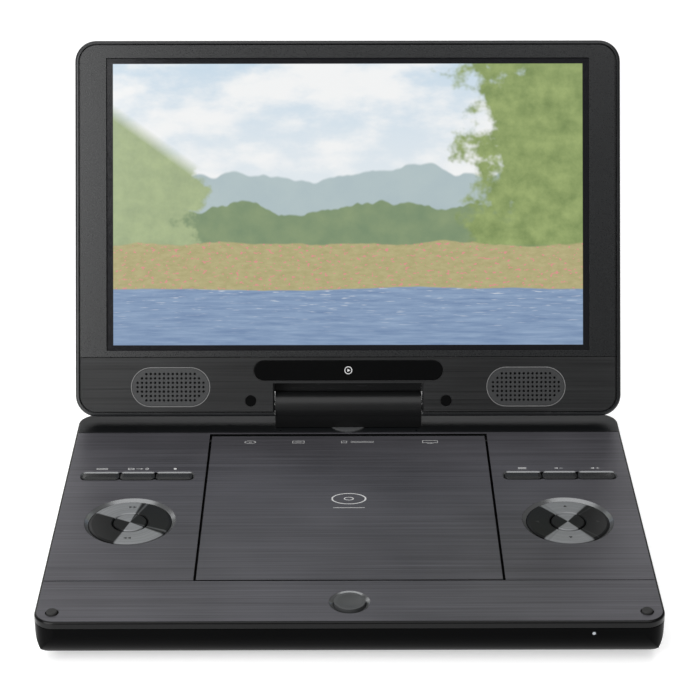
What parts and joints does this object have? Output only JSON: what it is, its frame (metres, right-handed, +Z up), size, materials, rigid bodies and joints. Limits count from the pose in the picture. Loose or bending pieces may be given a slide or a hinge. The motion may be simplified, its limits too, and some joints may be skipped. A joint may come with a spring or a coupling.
{
  "type": "portable disc player",
  "caption": "Clamshell portable disc player: flat base with a hinged disc door, keys and round pads, and a widescreen lid on a swivelling, tilting centre hinge.",
  "frame": {"origin": "middle of the whole opened object's footprint, on the surface it stands on", "axes": "+Z up, -Y to the front, where the user sits, and +X to the user's right"},
  "size_m": [0.296, 0.2922, 0.2165],
  "materials": {
    "deck_metal": "brushed",
    "case_plastic": "gloss",
    "panel_plastic": "brushed",
    "bezel_plastic": "satin",
    "hinge_plastic": "satin",
    "key_plastic": "satin",
    "spun_metal": "spun",
    "inner_plastic": "matt",
    "screen_glass": "gloss",
    "name_gloss": "gloss",
    "steel": "brushed",
    "rubber": "matt",
    "board": "matt",
    "battery": "satin",
    "led": "gloss",
    "lens": "gloss",
    "brass": "turned"
  },
  "bodies": {
    "base": {"lower_case": "case_plastic", "upper_case": "deck_metal", "open_button_spring": "steel", "key_boards": "board", "key_domes": "rubber", "deck_bumpers": "rubber", "status_led": "led", "disc_well": "inner_plastic", "drive_chassis": "steel", "chassis_dampers": "rubber", "spindle_motor": "steel", "sled_rods": "steel", "sled_motor": "steel", "main_board": "board", "hdmi_socket": "steel", "headphone_jacks": "inner_plastic", "dc_jack": "inner_plastic", "power_switch": "inner_plastic", "battery_pack": "battery", "rubber_feet": "rubber", "case_screws": "steel"},
    "door": {"disc_door": "deck_metal"},
    "latch": {"door_latch": "inner_plastic"},
    "door_button": {"open_button": "hinge_plastic"},
    "mode_key": {"mode_key": "key_plastic"},
    "source_key": {"source_key": "key_plastic"},
    "stop_key": {"stop_key": "key_plastic"},
    "setup_key": {"setup_key": "key_plastic"},
    "volume_down_key": {"volume_down_key": "key_plastic"},
    "volume_up_key": {"volume_up_key": "key_plastic"},
    "transport_pivot": {"transport_rocker": "inner_plastic"},
    "transport_pad": {"transport_ring": "spun_metal"},
    "play": {"play_button": "spun_metal"},
    "navigation_pivot": {"navigation_rocker": "inner_plastic"},
    "navigation_pad": {"navigation_ring": "spun_metal"},
    "ok": {"ok_button": "spun_metal"},
    "spindle": {"spindle_hub": "steel"},
    "sled": {"laser_sled": "inner_plastic", "laser_lens": "lens"},
    "sled_screw": {"lead_screw": "brass"},
    "switch_knob": {"power_slider": "inner_plastic"},
    "swivel": {"hinge_block": "hinge_plastic", "turntable": "hinge_plastic", "swivel_shaft": "steel", "friction_clips": "steel"},
    "screen": {"rear_cover": "case_plastic", "front_bezel": "bezel_plastic", "speaker_panel": "panel_plastic", "nameplate": "name_gloss", "speaker_grilles": "bezel_plastic", "speakers": "inner_plastic", "display_panel": "screen_glass", "backlight_frame": "steel", "display_board": "board", "lid_plugs": "hinge_plastic", "lid_screws": "steel", "hinge_brackets": "steel", "tilt_shafts": "steel"}
  },
  "joints": [
    {"name": "screen_swivel", "type": "hinge", "parent": "base", "child": "swivel", "pos_m": [0, 0.05234, 0.024], "axis": [0, 0, 1], "range_deg": [-180, 0]},
    {"name": "screen_tilt", "type": "hinge", "parent": "swivel", "child": "screen", "pos_m": [0, 0.05234, 0.0347], "axis": [-1, 0, 0], "range_deg": [-116, 64]},
    {"name": "disc_door_hinge", "type": "hinge", "parent": "base", "child": "door", "pos_m": [0, 0.03614, 0.021], "axis": [-1, 0, 0], "range_deg": [0, 70]},
    {"name": "open_button_press", "type": "slide", "parent": "base", "child": "door_button", "axis": [0, 0, -1], "range_m": [0, 0.0012], "stiffness_N_per_m": 500, "deforming": ["open_button_spring"]},
    {"name": "door_latch_slide", "type": "slide", "parent": "base", "child": "latch", "axis": [0, -1, 0], "range_m": [0, 0.0012]},
    {"name": "mode_key_press", "type": "slide", "parent": "base", "child": "mode_key", "axis": [0, 0, -1], "range_m": [0, 0.0005], "stiffness_N_per_m": 1000},
    {"name": "source_key_press", "type": "slide", "parent": "base", "child": "source_key", "axis": [0, 0, -1], "range_m": [0, 0.0005], "stiffness_N_per_m": 1000},
    {"name": "stop_key_press", "type": "slide", "parent": "base", "child": "stop_key", "axis": [0, 0, -1], "range_m": [0, 0.0005], "stiffness_N_per_m": 1000},
    {"name": "setup_key_press", "type": "slide", "parent": "base", "child": "setup_key", "axis": [0, 0, -1], "range_m": [0, 0.0005], "stiffness_N_per_m": 1000},
    {"name": "volume_down_key_press", "type": "slide", "parent": "base", "child": "volume_down_key", "axis": [0, 0, -1], "range_m": [0, 0.0005], "stiffness_N_per_m": 1000},
    {"name": "volume_up_key_press", "type": "slide", "parent": "base", "child": "volume_up_key", "axis": [0, 0, -1], "range_m": [0, 0.0005], "stiffness_N_per_m": 1000},
    {"name": "transport_ring_rock_front_back", "type": "hinge", "parent": "base", "child": "transport_pivot", "pos_m": [-0.1104, -0.05326, 0.022], "axis": [1, 0, 0], "range_deg": [-2, 2], "stiffness_Nm_per_rad": 0.45},
    {"name": "transport_ring_rock_left_right", "type": "hinge", "parent": "transport_pivot", "child": "transport_pad", "pos_m": [-0.1104, -0.05326, 0.022], "axis": [0, 1, 0], "range_deg": [-2, 2], "stiffness_Nm_per_rad": 0.45},
    {"name": "play_button_press", "type": "slide", "parent": "base", "child": "play", "axis": [0, 0, -1], "range_m": [0, 0.0005], "stiffness_N_per_m": 1000},
    {"name": "navigation_ring_rock_front_back", "type": "hinge", "parent": "base", "child": "navigation_pivot", "pos_m": [0.1104, -0.05326, 0.022], "axis": [1, 0, 0], "range_deg": [-2, 2], "stiffness_Nm_per_rad": 0.45},
    {"name": "navigation_ring_rock_left_right", "type": "hinge", "parent": "navigation_pivot", "child": "navigation_pad", "pos_m": [0.1104, -0.05326, 0.022], "axis": [0, 1, 0], "range_deg": [-2, 2], "stiffness_Nm_per_rad": 0.45},
    {"name": "ok_button_press", "type": "slide", "parent": "base", "child": "ok", "axis": [0, 0, -1], "range_m": [0, 0.0005], "stiffness_N_per_m": 1000},
    {"name": "spindle_spin", "type": "hinge", "parent": "base", "child": "spindle", "pos_m": [0, -0.03506, 0.0165], "axis": [0, 0, 1], "continuous": true},
    {"name": "sled_travel", "type": "slide", "parent": "base", "child": "sled", "axis": [0, -1, 0], "range_m": [0, 0.033]},
    {"name": "lead_screw_turn", "type": "hinge", "parent": "base", "child": "sled_screw", "pos_m": [0.027, -0.07606, 0.01], "axis": [0, 1, 0], "continuous": true},
    {"name": "power_switch_slide", "type": "slide", "parent": "base", "child": "switch_knob", "axis": [0, 1, 0], "range_m": [0, 0.004]}
  ],
  "couplings": [
    {"joint": "door_latch_slide", "follows": "open_button_press", "ratio": 1},
    {"joint": "lead_screw_turn", "follows": "sled_travel", "rad_per_m": 2094.4}
  ]
}
